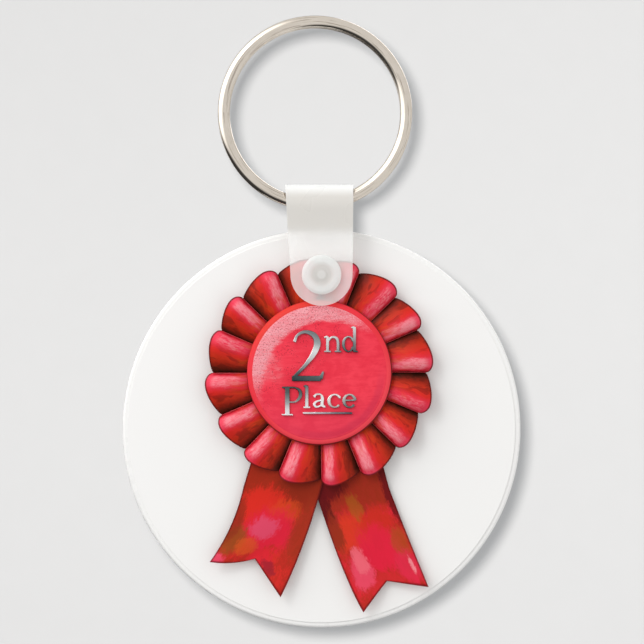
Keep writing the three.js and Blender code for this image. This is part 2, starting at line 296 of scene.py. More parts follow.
def dress(node, material):
    cadNode = bpy.data.objects[node]
    cadNode.data.materials.clear()
    cadNode.data.materials.append(material)


ringMiddle = middle("split_ring")
tagMiddle = middle("tag_core")
rosetteMiddle = middle("back_card")
snapMiddle = middle("snap_cap")
buttonMiddle = middle("button_rim")

# split ring: two coils of rounded wire, lengths in millimetres
ringLook = {
    "wireSides": 36, "steps": 168, "jogSteps": 14, "jogDegrees": 26, "squareness": 1.8,
    "wire": 1.7, "touch": 0.03, "endBevel": 0.25,
    "plate": "dcd1c3", "plateLight": "eee5d9", "hairline": "6e5c4c",
}


def nickel():
    look = ringLook
    net = finish("nickel plate")
    here = net.place(ringMiddle)
    x, y, z = net.parts(here)
    angle = net.maths("ARCTAN2", z, x)
    drawn = net.join(angle * 2.0, net.length(here) * 5200.0, y * 5200.0)  # runs along the wire
    lines = net.noise(drawn, 1.0, 4, 0.6)
    cloudy = net.noise(here, 380, 4, 0.6)
    tint = net.mix(cloudy, look["plate"], look["plateLight"])
    tint = net.mix(net.step(lines, 0.56, 0.64) * 0.45, tint, look["hairline"])
    scuff = net.step(net.noise(here, 1500, 2), 0.58, 0.75)
    return net.set(Base_Color=tint, Metallic=1.0, Roughness=lines * 0.08 + scuff * 0.10 + 0.05,
                   Normal=net.bump(lines, 0.010 * mm, 0.6))


def makeRing():
    look = ringLook
    low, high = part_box("split_ring")
    outer = (high.z - low.z) / 2
    depth = high.y - low.y
    radial = look["wire"] * mm / 2
    axial = depth / 4 - look["touch"] * mm / 2
    offset = depth / 4
    power = 2 / look["squareness"]
    bm = bmesh.new()
    bmesh.ops.create_circle(bm, cap_ends=False, segments=look["wireSides"], radius=1)
    for vert in bm.verts:  # the circle becomes the wire's rounded outline, on the first coil
        across = math.copysign(abs(vert.co.x) ** power, vert.co.x) * axial
        out = math.copysign(abs(vert.co.y) ** power, vert.co.y) * radial
        vert.co = (ringMiddle.x + outer - radial + out, ringMiddle.y - offset + across,
                   ringMiddle.z)
    startAngle = math.radians(270 + look["jogDegrees"] / 2)
    bmesh.ops.rotate(bm, verts=bm.verts, cent=ringMiddle,
                     matrix=Matrix.Rotation(-startAngle, 3, "Y"))
    first = list(bm.edges)
    about = {"cent": ringMiddle, "axis": (0, -1, 0), "use_merge": False, "use_duplicate": False}
    coil = {"angle": math.radians(360 - look["jogDegrees"]), "steps": look["steps"],
            "dvec": (0, 0, 0), **about}
    loop = bmesh.ops.spin(bm, geom=bm.verts[:] + bm.edges[:], **coil)["geom_last"]
    for k in range(look["jogSteps"]):  # the jog carries the wire over to the second coil
        ease = math.sin(math.pi * (k + 0.5) / look["jogSteps"]) ** 2 * 2 / look["jogSteps"]
        loop = bmesh.ops.spin(bm, geom=loop, dvec=(0, 2 * offset * ease, 0), steps=1,
                              angle=math.radians(look["jogDegrees"]) / look["jogSteps"],
                              **about)["geom_last"]
    loop = bmesh.ops.spin(bm, geom=loop, **coil)["geom_last"]
    last = [e for e in loop if isinstance(e, bmesh.types.BMEdge)]
    for edges in (first, last):
        bmesh.ops.holes_fill(bm, edges=edges, sides=0)
    bmesh.ops.recalc_face_normals(bm, faces=bm.faces)
    ends = [f for f in bm.faces if len(f.verts) > 4]
    bmesh.ops.bevel(bm, geom=[e for f in ends for e in f.edges], offset=look["endBevel"] * mm,
                    offset_type="OFFSET", affect="EDGES", segments=4, profile=0.5, material=-1)
    made = piece(bm, "split_ring_wire", "ring", nickel(), ["split_ring"])
    smoothByAngle(made, 40)
    print("ring: two coils and a jog")


# strap: one strip of milky vinyl folded over the ring
strapLook = {
    "rows": 26, "foldRows": 24, "endRows": 14, "columns": 14,
    "wall": 0.5, "drop": 0.3, "topHalf": 4.85, "endHalf": 4.4, "hole": 1.4, "softEdge": 0.12,
    "opacityFold": 0.86, "opacityMid": 0.42, "opacityLow": 0.30, "glow": 0.12,
    "milk": "d6d3ce", "light": "fafaf9", "foldHighlight": "f3f4f3", "cloud": "c9c1b2",
}


def vinyl():
    look = strapLook
    net = finish("milky vinyl")
    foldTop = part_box("strap")[1].z
    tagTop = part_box("tag_core")[1].z
    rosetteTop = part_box("pleated_ribbon")[1].z
    here = net.place()
    z = net.parts(here)[2]
    upper = net.step(z, tagTop - 1.6 * mm, tagTop + 0.6 * mm)
    # bend rises toward the top of the fold, which gets a painted highlight and more opacity
    bend = net.step(z, foldTop - 2.4 * mm, foldTop - 0.5 * mm)
    clear = net.step(z, rosetteTop + 1.6 * mm, rosetteTop - 0.6 * mm)
    cloudy = net.noise(here, 260, 3, 0.55)
    streak = net.noise(net.place(scale=(1, 1, 0.5)), 300, 2, 0.5)
    # painted light: below the tag's top edge the vinyl takes a paler tint than above, lifting its
    # shade over the white face
    tint = net.mix(upper, look["light"], look["milk"])
    # painted highlight along the fold
    tint = net.mix(bend, tint, look["foldHighlight"])
    tint = net.mix(cloudy * 0.12, tint, look["cloud"])
    opacity = upper * (look["opacityFold"] - look["opacityMid"]) + look["opacityMid"]
    opacity = opacity - clear * (look["opacityMid"] - look["opacityLow"])
    return net.set(Base_Color=tint, Roughness=streak * 0.14 + 0.22, IOR=1.5,
                   Alpha=opacity + bend * 0.1 + cloudy * 0.04,
                   Normal=net.bump(streak + cloudy, 0.004 * mm, 0.3),
                   Coat_Weight=0.3, Coat_Roughness=0.12,
                   Emission_Color=tint, Emission_Strength=look["glow"])  # painted glow that stands in for light scattered inside the vinyl


def strapHalf(z, top, tip):  # half the strap's width at a height
    wide, narrow = strapLook["topHalf"] * mm, strapLook["endHalf"] * mm
    roundEnd = tip + narrow
    if z < roundEnd:
        return math.sqrt(max(0.0, narrow ** 2 - (roundEnd - z) ** 2))
    return between(narrow, wide, (z - roundEnd) / (top - roundEnd))


def makeStrap():
    look = strapLook
    low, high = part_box("strap")
    wall, narrow = look["wall"] * mm, look["endHalf"] * mm
    reach = (high.y - low.y) / 2 - wall / 2
    top = high.z - look["drop"] * mm
    foldZ = top - wall / 2 - reach
    roundings = [1 - math.cos(math.pi / 2 * k / look["endRows"]) for k in range(look["endRows"])]
    leg = [(-reach, low.z + narrow * rounding + 0.002 * mm) for rounding in roundings]
    leg += [(-reach, between(low.z + narrow, foldZ, k / look["rows"]))
            for k in range(look["rows"])]
    turns = [math.pi * k / look["foldRows"] for k in range(look["foldRows"] + 1)]
    arch = [(-reach * math.cos(turn), foldZ + reach * math.sin(turn)) for turn in turns]
    path = leg + arch + [(-y, z) for y, z in reversed(leg)]
    bm = bmesh.new()
    row = chain(bm, [(-1, y, z) for y, z in path])
    for _ in range(look["columns"]):
        edges = [e for e in row if isinstance(e, bmesh.types.BMEdge)]
        row = bmesh.ops.extrude_edge_only(bm, edges=edges)["geom"]
        fresh = [v for v in row if isinstance(v, bmesh.types.BMVert)]
        bmesh.ops.translate(bm, verts=fresh, vec=(2 / look["columns"], 0, 0))
    topX, lowX = (low.x + high.x) / 2, snapMiddle.x
    for vert in bm.verts:  # the flat strip takes its width, and leans from the fold to the snap
        rise = max(0.0, min(1.0, (vert.co.z - snapMiddle.z) / (top - snapMiddle.z)))
        edge = math.copysign(math.sin(abs(vert.co.x) * math.pi / 2) ** 0.9, vert.co.x)
        vert.co.x = between(lowX, topX, rise) + edge * strapHalf(vert.co.z, top, low.z)
    bmesh.ops.recalc_face_normals(bm, faces=bm.faces)
    made = piece(bm, "strap_vinyl", None, vinyl())
    thicken(made, wall)
    for sign in (-1, 1):
        face = sign * (reach + wall)
        cutHole(made, snapMiddle, look["hole"] * mm, min(face, 0), max(face, 0))
    soft = made.modifiers.new("edge", "BEVEL")
    soft.width = look["softEdge"] * mm
    soft.segments = 3
    soft.limit_method = "ANGLE"
    soft.angle_limit = math.radians(50)
    settled(made)
    smoothByAngle(made, 40)
    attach(made, "strap")
    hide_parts("strap")
    print("strap: folded vinyl with snap holes")


# snap: cap and post in front of the strap, socket behind it
snapLook = {
    "groove": 1.66, "nub": 0.62, "post": 1.1, "bore": 1.3, "sides": 96,
    "opacity": 0.54, "glow": 0.14, "dish": "dedbd7", "crown": "e9ebe9", "nubTint": "ebe9e6",
}


def snapPlastic():
    look = snapLook
    net = finish("milky snap plastic")
    here = net.place(snapMiddle)
    x, _, z = net.parts(here)
    radius = net.length(net.join(x, z)) * 1000.0
    cloudy = net.noise(here, 500, 3, 0.5)
    tint = net.mix(net.step(radius, 1.2, 2.0), look["dish"], look["crown"])
    tint = net.mix(net.step(radius, 0.75, 0.45), tint, look["nubTint"])
    # the emission is a painted glow that stands in for light scattered in the plastic
    return net.set(Base_Color=tint, Roughness=cloudy * 0.12 + 0.24, IOR=1.5,
                   Alpha=look["opacity"] + cloudy * 0.08,
                   Normal=net.bump(net.noise(here, 2600, 2), 0.006 * mm, 0.5),
                   Emission_Color=tint, Emission_Strength=look["glow"])


def makeSnap():
    look = snapLook
    plastic = snapPlastic()
    groove, nub, post, bore = [look[key] * mm for key in ("groove", "nub", "post", "bore")]
    low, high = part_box("snap_cap")
    outer = (high.x - low.x) / 2
    face = low.y
    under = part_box("strap")[0].y - 0.02 * mm
    cap = [(0, face + 0.06 * mm), (nub, face + 0.08 * mm), (nub + 0.25 * mm, face + 0.14 * mm),
           (groove - 0.3 * mm, face + 0.15 * mm), (groove + 0.2 * mm, face + 0.08 * mm),
           (outer - 0.40 * mm, face + 0.12 * mm), (outer, face + 0.36 * mm), (outer, under),
           (post, under), (post, high.y), (0, high.y)]
    bm = turned(fillet(cap, 0.14 * mm, 4), snapMiddle, look["sides"])
    made = piece(bm, "snap_cap_moulded", "strap", plastic, ["snap_cap"])
    smoothByAngle(made, 45)
    low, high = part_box("snap_socket")
    outer = (high.x - low.x) / 2
    floor = high.y - 0.24 * mm
    socket = [(bore, low.y), (outer, low.y), (outer, high.y - 0.25 * mm),
              (outer - 0.4 * mm, high.y), (groove, high.y),
              (groove - 0.2 * mm, high.y - 0.15 * mm), (0, high.y - 0.12 * mm),
              (0, floor), (bore, floor), (bore, low.y)]
    bm = turned(fillet(socket, 0.06 * mm, 3), snapMiddle, look["sides"])
    made = piece(bm, "snap_socket_moulded", "strap", plastic, ["snap_socket"])
    smoothByAngle(made, 45)
    print("snap: cap and socket")


# tag: white core with a gloss sheet on each face
tagLook = {
    "hole": 1.4, "sides": 240,
    "layers": [  # part, piece, finish, edge radius, white, roughness
        ("tag_core", "tag_body", "tag white", 0.55, "faf9f7", 0.22),
        ("tag_front_sheet", "tag_face", "face gloss", 0.05, "fbfaf8", 0.14),
        ("tag_back_sheet", "tag_rear", "rear gloss", 0.05, "f3f2f0", 0.18),
    ],
}


def glossWhite(name, white, rough):
    net = finish(name)
    here = net.place(tagMiddle)
    speck = net.noise(here, 900, 3, 0.5)
    swirl = net.noise(here, 70, 2, 0.5)
    dimmed = tuple(c * 0.985 for c in tone(white))
    return net.set(Base_Color=net.mix(swirl, dimmed, white), IOR=1.5,
                   Roughness=speck * 0.07 + swirl * 0.05 + rough,
                   Normal=net.bump(speck + swirl, 0.0015 * mm, 0.4),
                   Coat_Weight=0.25, Coat_Roughness=0.06)


def makeTag():
    for node, name, coating, edge, white, rough in tagLook["layers"]:
        low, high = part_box(node)
        radius = (high.x - low.x) / 2
        profile = [(0, low.y), (radius, low.y), (radius, high.y), (0, high.y)]
        bm = turned(fillet(profile, edge * mm, 6), middle(node), tagLook["sides"])
        made = piece(bm, name, None, glossWhite(coating, white, rough))
        cutHole(made, snapMiddle, tagLook["hole"] * mm, low.y - mm, high.y + mm)
        smoothByAngle(made, 30)
        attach(made, "tag")
        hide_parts(node)
    print("tag: core and two sheets")


# satin: the cloth of the pleats, the tails and the button
satinLook = {
    "threads": 60.0, "sheen": 0.02, "sheenRough": 0.4, "sheenTint": "ff9aa6", "gloss": 0.09,
    "rough": 0.42,
}


def satin(net, tint, across, along, brush):
    look = satinLook
    weft = net.maths("SINE", along * (look["threads"] * 6.283))
    fine = net.noise(net.join(across * 90.0, along * 7.0), 1.0, 3, 0.6)
    return net.set(Base_Color=tint, Roughness=look["rough"] + brush * 0.2,
                   Normal=net.bump(weft * 0.3 + fine, 0.006 * mm, 0.6),
                   Sheen_Weight=look["sheen"], Sheen_Roughness=look["sheenRough"],
                   Sheen_Tint=look["sheenTint"], Specular_IOR_Level=look["gloss"])


# pleated ribbon: one gathered strip with its flutes standing up
pleatLook = {
    "flutes": 16, "acrossSteps": 28, "alongSteps": 30, "seed": 7, "widthJitter": 0.05,
    "innerRadius": 6.0, "overhang": 0.34, "reachLow": 0.24, "notch": 1.35, "hole": 1.3,
    "base": 0.14, "lowRise": 0.28, "rise": 1.72, "curl": 0.34, "lean": 0.12, "skew": 1.35,
    "fullness": 0.62, "cloth": 0.12,
    # painted shade and highlight across each flute: dark where it tucks under the flute before and
    # in the valleys, rose toward the crest
    "shadeAndHighlightBands": [(0.0, "2c1209"), (0.05, "501b0f"), (0.13, "902313"), (0.24, "c2301b"),
              (0.41, "dc2b26"), (0.60, "ea344e"), (0.84, "ee4058"), (0.92, "cc2232"),
              (0.97, "6e1216"), (1.0, "2c1209")],
    "pinkHighlight": "f68e98", "roseHighlight": "f25a70", "amber": "d84a1a", "dark": "3c140b", "selvage": "54100f",
}


def pleatSatin():
    look = pleatLook
    net = finish("pleat satin")
    across, along, number = net.parts(net.attribute("flute"))
    grain = net.join(across * 3.6, along * 2.2, number * 7.3)
    brush = net.noise(grain, 2.2, 5, 0.65, 0.4) - 0.5
    fine = net.noise(grain, 8.0, 3, 0.6) - 0.5
    own = net.node("ShaderNodeTexWhiteNoise", {"noise_dimensions": "1D"}, {"W": number}) - 0.5
    where = across + brush * 0.22 + fine * 0.05 + own * 0.06 - 0.01
    # painted shade across each flute, darkest on its tucked side and in the valleys
    tint = net.ramp(where, look["shadeAndHighlightBands"])
    lit = net.step(where, 0.50, 0.64) * net.step(where, 0.90, 0.80)
    outer = net.step(along + brush * 0.5, 0.38, 0.62) * net.step(along + fine * 0.1, 0.95, 0.86)
    patchy = net.step(net.noise(grain, 3.4, 5, 0.7, 0.5), 0.36, 0.56)
    # painted highlight: rose in patches on the crest side of each flute
    tint = net.mix(lit * (0.35 + own * 0.6) * patchy, tint, look["roseHighlight"])
    strong = net.maths("ADD", fine * 2.0 + own * 0.7 + patchy * 0.45, 0.30, clamp=True)
    # painted highlight: pink toward the outer end of each crest
    tint = net.mix(lit * outer * strong, tint, look["pinkHighlight"])
    # painted shade: dark brush strokes on the tucked side of each flute
    shadeStrokes = net.step(net.noise(grain, 2.2, 2, 0.5, 0.4), 0.48, 0.62)
    tint = net.mix(shadeStrokes * net.step(where, 0.62, 0.26) * 0.5, tint, look["dark"])
    embers = net.step(net.noise(grain, 1.9, 2, 0.5, 0.5), 0.48, 0.60)
    embers = embers * net.step(where, 0.12, 0.3) * net.step(along, 0.85, 0.3)
    tint = net.mix(embers * 0.7, tint, look["amber"])
    tint = net.mix(net.step(along, 0.968, 0.99) * 0.85, tint, look["selvage"])
    return satin(net, tint, across + number, along, brush)


def fluteShapes():
    look = pleatLook
    random.seed(look["seed"])
    count = look["flutes"]
    starts = [k + random.uniform(-1, 1) * look["widthJitter"] for k in range(count)]
    starts.append(starts[0] + count)
    reach = [random.uniform(-look["reachLow"], 0.08) * mm for _ in range(count)]
    lift = [random.uniform(0.86, 1.0) for _ in range(count)]
    return starts, reach, lift


def makePleats():
    look = pleatLook
    low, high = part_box("pleated_ribbon")
    outer = (high.x - low.x) / 2 + look["overhang"] * mm
    count, wide, tall = look["flutes"], look["acrossSteps"], look["alongSteps"]
    starts, reach, lift = fluteShapes()
    bm = bmesh.new()
    bmesh.ops.create_grid(bm, x_segments=count * wide, y_segments=tall, size=1)
    fluteLayer = bm.verts.layers.float_vector.new("flute")
    for vert in bm.verts:
        whole = round((vert.co.x + 1) / 2 * count * wide)
        along = (vert.co.y + 1) / 2
        number = min(whole // wide, count - 1)
        across = whole / wide - number
        leaning = across ** look["skew"]  # the crest leans clockwise over the next valley
        arch = max(0.0, math.sin(math.pi * leaning)) ** look["fullness"]
        tip = outer - look["notch"] * mm * (1 - arch ** 0.9) + reach[number] * arch
        run = between(look["innerRadius"] * mm, tip, along)
        over = smoothStep(along, 0.80, 1.0)
        flare = smoothStep(run, 8.2 * mm, 14.0 * mm)
        height = between(look["lowRise"], look["rise"], flare) * arch * lift[number] * mm
        ripple = noise.noise((number * 5.1 + across * 2.2, along * 2.6, 3.0))
        wrinkle = ripple * 0.12 * mm * arch * flare
        y = high.y - look["base"] * mm - height * (1 - look["curl"] * over ** 2) + wrinkle
        run -= 0.12 * mm * over ** 2 * arch
        turn = starts[number] + (starts[number + 1] - starts[number]) * across
        lean = look["lean"] * smoothStep(run, 9 * mm, 16 * mm) * math.sin(math.pi * across)
        angle = (turn + lean) * 2 * math.pi / count
        vert.co = (rosetteMiddle.x + run * math.sin(angle), y,
                   rosetteMiddle.z + run * math.cos(angle))
        vert[fluteLayer] = (across, along, number)
    bmesh.ops.remove_doubles(bm, verts=bm.verts, dist=1e-7)
    bmesh.ops.recalc_face_normals(bm, faces=bm.faces)
    made = piece(bm, "satin_pleats", None, pleatSatin())
    thicken(made, look["cloth"] * mm)
    cutHole(made, snapMiddle, look["hole"] * mm, low.y - mm, high.y + mm)
    smoothByAngle(made, 60)
    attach(made, "tag")
    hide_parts("pleated_ribbon")
    print("pleats: sixteen flutes of gathered satin")


# tails: each one strip, stapled behind the pleats and hanging to a swallow-tail end
tailLook = {
    "columns": 30, "rows": 72, "tabShare": 0.42, "cloth": 0.12, "hinge": -65.6, "wave": 0.20,
    "curl": 0.45, "dark": "b82a1e", "hem": "5e0e10",
}
tailCut = {  # places in millimetres, each edge a curve from the hinge line to the cut end
    "left": {
        "high": [(-4.6, -46.9), (5.2, -46.9)], "top": [-10.25, 0.92],
        "left": [(-11.6, -71.5), (-15.0, -76.1)], "notch": [(-11.5, -76.6), (-8.6, -75.7)],
        "right": [(-1.6, -74.6), (-4.9, -81.1)],
        "body": "tail_left", "phase": 0.4, "base": "d42c26", "shade": ("9c2a12", 0.16, 0.12),
        "patches": [  # place across and along, half width, half length, colour, strength
            # dark patches at the top and along the edges are painted shadow, pink ones painted
            # highlights
            (0.75, 0.04, 0.42, 0.20, "8e2812", 0.85), (0.30, 0.20, 0.40, 0.22, "e02c20", 0.85),
            (0.62, 0.22, 0.24, 0.12, "d84a1c", 0.6), (0.50, 0.47, 0.36, 0.30, "e01f3c", 0.85),
            (0.44, 0.44, 0.20, 0.16, "de4a68", 0.9), (0.12, 0.66, 0.17, 0.22, "8a4a14", 0.75),
            (0.33, 0.72, 0.16, 0.14, "d65220", 0.7), (0.92, 0.40, 0.14, 0.32, "9c3018", 0.75),
            (0.02, 0.96, 0.14, 0.10, "e84a66", 0.9), (0.62, 0.88, 0.18, 0.16, "dc2232", 0.8),
            (0.76, 0.90, 0.09, 0.08, "8a1e2c", 0.7), (0.04, 0.40, 0.10, 0.30, "8c2c16", 0.7),
        ],
    },
    "right": {
        "high": [(-4.2, -46.9), (5.6, -46.9)], "top": [-0.1, 10.58],
        "left": [(4.0, -78.5), (6.9, -83.3)], "notch": [(8.9, -80.6), (10.3, -78.9)],
        "right": [(13.0, -72.0), (16.2, -79.7)],
        "body": "tail_right", "phase": 2.1, "base": "da2632", "shade": ("962c14", 0.24, 0.14),
        "patches": [
            # dark patches at the top and along the edges are painted shadow, pink ones painted
            # highlights
            (0.30, 0.34, 0.36, 0.16, "dc3a20", 0.8), (0.66, 0.30, 0.26, 0.14, "cc2c1c", 0.8),
            (0.45, 0.15, 0.10, 0.10, "a85a18", 0.6), (0.55, 0.56, 0.34, 0.26, "e2203e", 0.85),
            (0.20, 0.70, 0.15, 0.20, "ea4a64", 0.9), (0.24, 0.58, 0.09, 0.14, "f06a78", 0.8),
            (0.86, 0.55, 0.13, 0.16, "b0481c", 0.7), (0.84, 0.80, 0.20, 0.18, "e02a48", 0.8),
            (0.42, 0.92, 0.30, 0.10, "d02a2c", 0.8), (0.08, 0.26, 0.10, 0.20, "7c2c14", 0.75),
            (0.90, 0.78, 0.03, 0.09, "f49aa0", 0.7), (1.00, 0.00, 0.11, 0.42, "6a0c14", 0.9),
            (0.00, 0.06, 0.16, 0.16, "5e0a12", 0.9), (0.16, -0.04, 0.30, 0.12, "660c12", 0.9),
        ],
    },
}


def tailSatin(side):
    look, cut = tailLook, tailCut[side]
    net = finish(side + " tail satin")
    across, along, _ = net.parts(net.attribute("cloth"))
    grain = net.join(across * 6.0, along * 3.2, cut["phase"])
    brush = net.noise(grain, 1.6, 5, 0.65, 0.6) - 0.5
    fine = net.noise(grain, 7.0, 4, 0.7, 0.3) - 0.5
    ragged = net.noise(grain, 5.0, 4, 0.75, 0.6) - 0.5
    tint = net.mix(net.step(brush + fine * 0.6, -0.12, 0.16), cut["base"], look["dark"])
    code, reach, soft = cut["shade"]
    shaded = net.step(along + brush * 0.3 + ragged * 0.2, reach, reach - soft)
    tint = net.mix(shaded * 0.85, tint, code)
    # the patches hold painted shadow of the pleats and along the edges, and pink painted
    # highlights, among the satin's own colours
    for at, down, wide, long, code, strength in cut["patches"]:
        offset = net.join((across + fine * 0.10 - at) / wide,
                          (along + brush * 0.22 - down) / long)
        near = net.step(net.length(offset) + ragged * 1.1, 1.15, 0.65)
        tint = net.mix(near * strength, tint, code)
    selvage = net.maths("MAXIMUM", net.step(across, 0.03, 0.006), net.step(across, 0.97, 0.994))
    hem = net.maths("MAXIMUM", selvage, net.step(along, 0.962, 0.992))
    tint = net.mix(hem * 0.8, tint, look["hem"])
    return satin(net, tint, across, along, brush)


def bezier(a, b, c, t):
    return Vector(a) * (1 - t) ** 2 + Vector(b) * 2 * t * (1 - t) + Vector(c) * t * t


def tailPoint(cut, across, along):  # along is 0 at the hinge line and 1 at the cut end
    hinge = tailLook["hinge"]
    first, last = cut["top"]
    left = bezier((first, hinge), *cut["left"], along)
    right = bezier((last, hinge), *cut["right"], along)
    lowLeft, lowRight = Vector(cut["left"][1]), Vector(cut["right"][1])
    bend, notch = cut["notch"]
    share = (notch[0] - lowLeft.x) / (lowRight.x - lowLeft.x)
    if across < share:
        end = bezier(lowLeft, bend, notch, across / share)
    else:
        end = Vector(notch).lerp(lowRight, (across - share) / (1 - share))
    return left.lerp(right, across) + (end - lowLeft.lerp(lowRight, across)) * along ** 2.2


def makeTail(side):
    look, cut = tailLook, tailCut[side]
    body, tabShare = cut["body"], look["tabShare"]
    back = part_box(body)[0].y
    bm = bmesh.new()
    bmesh.ops.create_grid(bm, x_segments=look["columns"], y_segments=look["rows"], size=1)
    clothLayer = bm.verts.layers.float_vector.new("cloth")
    for vert in bm.verts:
        across, place = (vert.co.x + 1) / 2, (1 - vert.co.y) / 2
        if place < tabShare:  # the stapled tab behind the pleats
            t = place / tabShare
            start = Vector(cut["high"][0]).lerp(Vector(cut["high"][1]), across)
            hingePoint = Vector((between(*cut["top"], across), look["hinge"]))
            point, along = start.lerp(hingePoint, t), -(1 - t)
        else:
            along = (place - tabShare) / (1 - tabShare)
            point = tailPoint(cut, across, along)
        free = smoothStep(along, 0.04, 1.0)
        swell = math.sin((across * 1.3 + along * 0.5) * 2 * math.pi + cut["phase"])
        wave = swell * look["wave"] * mm * free
        corner = smoothStep(abs(across - 0.5), 0.12, 0.5) * smoothStep(along, 0.72, 1.0)
        y = back + wave * 0.8 - look["wave"] * mm * free - corner * look["curl"] * mm
        vert.co = (point.x * mm, y, point.y * mm)
        vert[clothLayer] = (across, along, 0)
    bmesh.ops.recalc_face_normals(bm, faces=bm.faces)
    area = sum(face.calc_area() for face in bm.faces)
    made = piece(bm, "satin_tail_" + side, None, tailSatin(side))
    thicken(made, look["cloth"] * mm)
    smoothByAngle(made, 60)
    crossing = [(middle(body).x, back, (look["hinge"] + step) * mm) for step in (0.7, -0.7)]
    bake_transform(made)
    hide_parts(body, body + "_tab")
    print("tail:", side, "cut area", round(area * 1e6), "square mm")


# button: a satin-covered dome and the rolled cord of satin round it
buttonLook = {
    "crown": 0.09, "cover": 0.14, "rimWidth": 0.84, "sides": 160,
    "base": "f84456", "deep": "ec3448", "low": "e2405e", "lowRight": "d23350",
    "pinkHighlight": "f4a2aa", "blushHighlight": "ee7a86", "speckle": "9c1a2c", "grain": "f8c4c6",
    "rimTop": "ee3a46", "rimLow": "fa4c58", "rimWarmLight": "dc4424", "shade": "6e1e14",
}


def buttonSatin():
    look = buttonLook
    net = finish("button satin")
    x, _, z = net.parts(net.place(buttonMiddle))
    u, v = x * 1000.0, z * 1000.0
    flat = net.join(u, v)
    radius = net.length(flat)
    cloud = net.noise(flat, 0.34, 5, 0.6, 0.8) - 0.5
    slanted = net.node("ShaderNodeMapping", {}, {"Vector": flat, "Rotation": (0, 0, 0.7),
                                                 "Scale": (0.5, 2.2, 1)})
    brush = net.noise(slanted, 0.8, 5, 0.7, 0.5) - 0.5
    dots = net.noise(flat, 4.6, 4, 0.75)
    tint = net.mix(net.step(brush + cloud, -0.22, 0.26), look["deep"], look["base"])
    # painted shade: the lower part of the button is darker
    lowerShade = net.step(v + cloud * 3.0, -2.0, -8.0)
    tint = net.mix(lowerShade * 0.35, tint, look["low"])
    # a painted highlight: a pale crescent inside the upper left of the edge, with a brighter crest
    facing = (v * 0.86 - u * 0.52) / radius
    moonRadius = net.length(net.vector("SUBTRACT", flat, (1.15, -1.9, 0)))
    paleHighlight = net.step(moonRadius + cloud * 1.6 + brush, 9.0, 9.8)
    paleHighlight = paleHighlight * net.step(facing + cloud * 0.3, 0.0, 0.5)
    tint = net.mix(paleHighlight * (0.75 + brush * 0.8), tint, look["blushHighlight"])
    crestHighlight = net.step(moonRadius + brush * 1.6, 8.9, 9.9)
    crestHighlight = crestHighlight * net.step(facing + cloud * 0.4, 0.25, 0.70)
    strong = net.maths("ADD", brush * 2.4 + cloud, 0.62, clamp=True)
    tint = net.mix(crestHighlight * strong, tint, look["pinkHighlight"])
    # painted highlight: a pink patch inside the left of the edge
    sideRadius = net.length(net.vector("SUBTRACT", flat, (-8.2, 1.2, 0)))
    side = net.step(sideRadius + cloud * 5.0, 3.9, 1.0)
    tint = net.mix(side * net.maths("ADD", brush * 2.0, 0.35, clamp=True), tint, look["pinkHighlight"])
    # dark specks in clusters, then pale grains of painted highlight in the crescent
    clusters = net.step(net.noise(flat, 0.55, 3, 0.6), 0.46, 0.58)
    specks = net.step(dots, 0.54, 0.59)
    specks = specks * net.step(facing * 6.0 - u * 0.3 + cloud * 5.0, 0.0, 4.0)
    tint = net.mix(specks * net.maths("MAXIMUM", clusters, crestHighlight) * 0.65, tint, look["speckle"])
    highlightGrains = net.step(net.noise(flat, 6.3, 3, 0.7), 0.56, 0.62)
    highlightGrains = highlightGrains * net.maths("ADD", paleHighlight, crestHighlight, clamp=True)
    tint = net.mix(highlightGrains * 0.7, tint, look["grain"])
    # painted shade: a darker band inside the lower right of the edge
    lowRight = net.step(facing, -0.35, -0.9) * net.step(radius + cloud, 8.1, 8.7)
    tint = net.mix(lowRight * net.step(radius, 9.4, 9.1) * 0.5, tint, look["lowRight"])
    return satin(net, tint, u * 0.02, v * 0.12, brush)


def rimSatin():
    look = buttonLook
    net = finish("rolled edge satin")
    here = net.place(buttonMiddle)
    x, _, z = net.parts(here)
    flat = net.vector("MULTIPLY", here, (1000.0, 0, 1000.0))
    radius = net.length(flat)
    facing = (z * 860.0 - x * 520.0) / radius
    cloud = net.noise(flat, 0.5, 4, 0.6) - 0.5
    # painted light: the lower right of the rolled edge gets a lighter red than the upper left,
    # lifting its shade
    tint = net.mix(net.step(facing + cloud * 0.5, -0.75, 0.15), look["rimLow"], look["rimTop"])
    # painted warm tint on the upper left of the edge, where the light falls
    tint = net.mix(net.step(facing + cloud, 0.55, 0.95) * 0.5, tint, look["rimWarmLight"])
    contour = net.step(radius - facing * 0.10, 10.16, 10.26)
    tint = net.mix(contour * 0.9, tint, look["shade"])
    return satin(net, tint, x * 20.0, z * 120.0, cloud)


